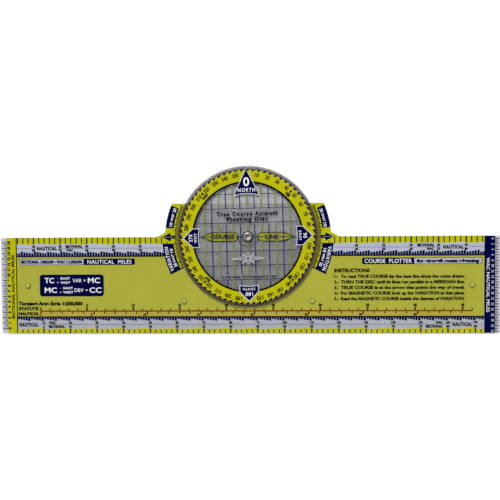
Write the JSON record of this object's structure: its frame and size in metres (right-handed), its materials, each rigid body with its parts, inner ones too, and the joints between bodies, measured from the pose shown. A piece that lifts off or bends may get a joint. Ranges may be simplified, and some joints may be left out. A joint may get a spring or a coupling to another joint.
{
  "type": "rotating azimuth course plotter",
  "caption": "Long clear chart ruler with printed distance scales and a raised tab, carrying a round compass disc that turns on a hollow eyelet.",
  "frame": {"origin": "on the eyelet's axis, at the underside of the base plate's back sheet", "axes": "+X along the ruler to the right of the printed face, +Y across the ruler towards the tab, +Z out of the printed face"},
  "size_m": [0.342, 0.1144, 0.0029],
  "materials": {
    "clear_plastic": "clear, polished, lightly scratched",
    "smoke_film": "translucent grey",
    "degree_film": "translucent dark grey",
    "olive_ink": "printed translucent olive, seen through a clear gloss sheet",
    "yellow_ink": "printed yellow, seen through a clear gloss sheet",
    "white_ink": "printed pale lilac white, seen through a clear gloss sheet",
    "navy_ink": "printed navy blue, seen through a clear gloss sheet",
    "orange_ink": "printed amber, seen through a clear gloss sheet",
    "black_ink": "printed black, seen through a clear gloss sheet",
    "silver_ink": "printed silver grey, seen through a clear gloss sheet",
    "stud_plastic": "clear moulded plastic over the olive print",
    "eyelet_metal": "bright plated, rolled edges"
  },
  "bodies": {
    "base": {"base_back_sheet": "clear_plastic", "base_window_film": "smoke_film", "base_olive_print": "olive_ink", "base_yellow_print": "yellow_ink", "base_white_print": "white_ink", "base_navy_print": "navy_ink", "base_orange_print": "orange_ink", "base_front_sheet": "clear_plastic", "stud_left_end": "stud_plastic", "stud_left_inner": "stud_plastic", "stud_right_inner": "stud_plastic", "stud_right_end": "stud_plastic", "back_washer": "eyelet_metal", "spacer_washer": "clear_plastic", "eyelet": "eyelet_metal"},
    "azimuth_disc": {"disc_back_sheet": "clear_plastic", "disc_window_film": "smoke_film", "disc_degree_film": "degree_film", "disc_yellow_print": "yellow_ink", "disc_black_print": "black_ink", "disc_navy_print": "navy_ink", "disc_silver_print": "silver_ink", "disc_front_sheet": "clear_plastic"}
  },
  "joints": [
    {"name": "azimuth_turn", "type": "hinge", "parent": "base", "child": "azimuth_disc", "pos_m": [0, 0, 0.0014], "axis": [0, 0, 1], "continuous": true}
  ]
}
